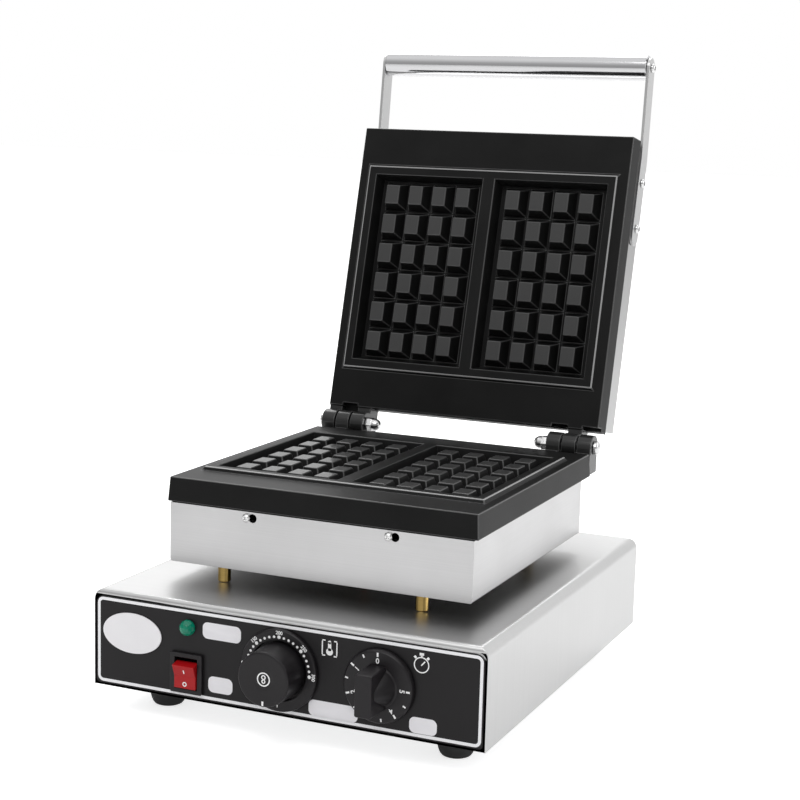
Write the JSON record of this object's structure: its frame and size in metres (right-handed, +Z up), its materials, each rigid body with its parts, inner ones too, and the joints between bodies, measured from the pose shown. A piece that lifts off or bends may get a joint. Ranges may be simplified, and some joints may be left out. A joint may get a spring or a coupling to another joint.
{
  "type": "waffle maker",
  "caption": "Table-top twin waffle maker with an open hinged lid, two grid-pocketed plates, a heater box on brass pillars and a control panel with dial, timer and rocker switch.",
  "frame": {"origin": "bottom centre of the whole machine's box with the lid open: on the floor under the feet", "axes": "+X to the machine's right seen from its front, +Y from the control panel to the hinge at the back, +Z up"},
  "size_m": [0.32, 0.4862, 0.5131],
  "materials": {
    "brushed_steel": "fine horizontal brushing",
    "printed_overlay": "satin black film with a silver line and blank grey labels",
    "zinc_plate": "dull zinc plating",
    "foot_rubber": "matt black",
    "badge_white": "blank white oval",
    "lamp_green": "clear green lens",
    "lamp_white": "white moulding",
    "rocker_red": "glossy red with white marks",
    "black_plastic": "satin black moulding",
    "switchgear_cream": "cream moulding",
    "brass": "turned brass",
    "coated_casting": "cast, dark non-stick coating",
    "element_sheath": "heat-darkened sheath",
    "copper": "drawn copper",
    "steel_strip": "brushed strip",
    "chrome": "polished tube",
    "plated_screws": "bright plated steel"
  },
  "bodies": {
    "base": {"lower_plate": "coated_casting", "base_top_cover": "brushed_steel", "lower_heating_element": "element_sheath", "heater_box": "brushed_steel", "thermostat_capillary": "copper", "base_front_panel": "brushed_steel", "control_overlay": "printed_overlay", "temperature_scale_ring": "black_plastic", "foot_front_left": "foot_rubber", "foot_front_right": "foot_rubber", "foot_back_left": "foot_rubber", "foot_back_right": "foot_rubber", "cable_gland": "black_plastic", "hinge_nut_left": "plated_screws", "hinge_nut_right": "plated_screws", "base_rear_panel": "brushed_steel", "hinge_bolt_left": "plated_screws", "hinge_bolt_right": "plated_screws", "base_bottom_plate": "zinc_plate", "pilot_lamp_lens": "lamp_green", "pillar_front_left": "brass", "pillar_front_right": "brass", "pillar_back_left": "brass", "pillar_back_right": "brass", "power_switch_body": "black_plastic", "timer_body": "zinc_plate", "badge_plate": "badge_white", "pilot_lamp_body": "lamp_white", "pillar_screw_front_left": "plated_screws", "pillar_screw_front_right": "plated_screws", "pillar_screw_back_left": "plated_screws", "pillar_screw_back_right": "plated_screws", "heater_box_screw_left": "plated_screws", "heater_box_screw_right": "plated_screws", "lower_heat_shield": "zinc_plate", "thermostat_body": "switchgear_cream", "thermostat_bulb": "copper", "terminal_block": "switchgear_cream"},
    "lid": {"upper_plate": "coated_casting", "upper_heating_element": "element_sheath", "lid_cover": "brushed_steel", "arm_left": "steel_strip", "arm_right": "steel_strip", "handle_tube": "chrome", "arm_screw_left_rear": "plated_screws", "arm_screw_left_front": "plated_screws", "handle_screw_left": "plated_screws", "arm_screw_right_rear": "plated_screws", "arm_screw_right_front": "plated_screws", "handle_screw_right": "plated_screws", "upper_heat_shield": "zinc_plate"},
    "power_rocker": {"power_switch_rocker": "rocker_red"},
    "temperature_dial": {"temperature_knob": "black_plastic", "thermostat_shaft": "plated_screws"},
    "timer_dial": {"timer_knob": "black_plastic", "timer_shaft": "plated_screws"}
  },
  "joints": [
    {"name": "lid_hinge", "type": "hinge", "parent": "base", "child": "lid", "pos_m": [0, 0.11497, 0.1802], "axis": [1, 0, 0], "range_deg": [0, 105]},
    {"name": "power_rocker_pivot", "type": "hinge", "parent": "base", "child": "power_rocker", "pos_m": [-0.0782, -0.20803, 0.0433], "axis": [-1, 0, 0], "range_deg": [0, 22]},
    {"name": "temperature_dial_turn", "type": "hinge", "parent": "base", "child": "temperature_dial", "pos_m": [-0.0005, -0.21353, 0.0579], "axis": [0, 1, 0], "range_deg": [0, 270]},
    {"name": "timer_dial_turn", "type": "hinge", "parent": "base", "child": "timer_dial", "pos_m": [0.079, -0.21353, 0.0587], "axis": [0, 1, 0], "range_deg": [0, 270]}
  ]
}
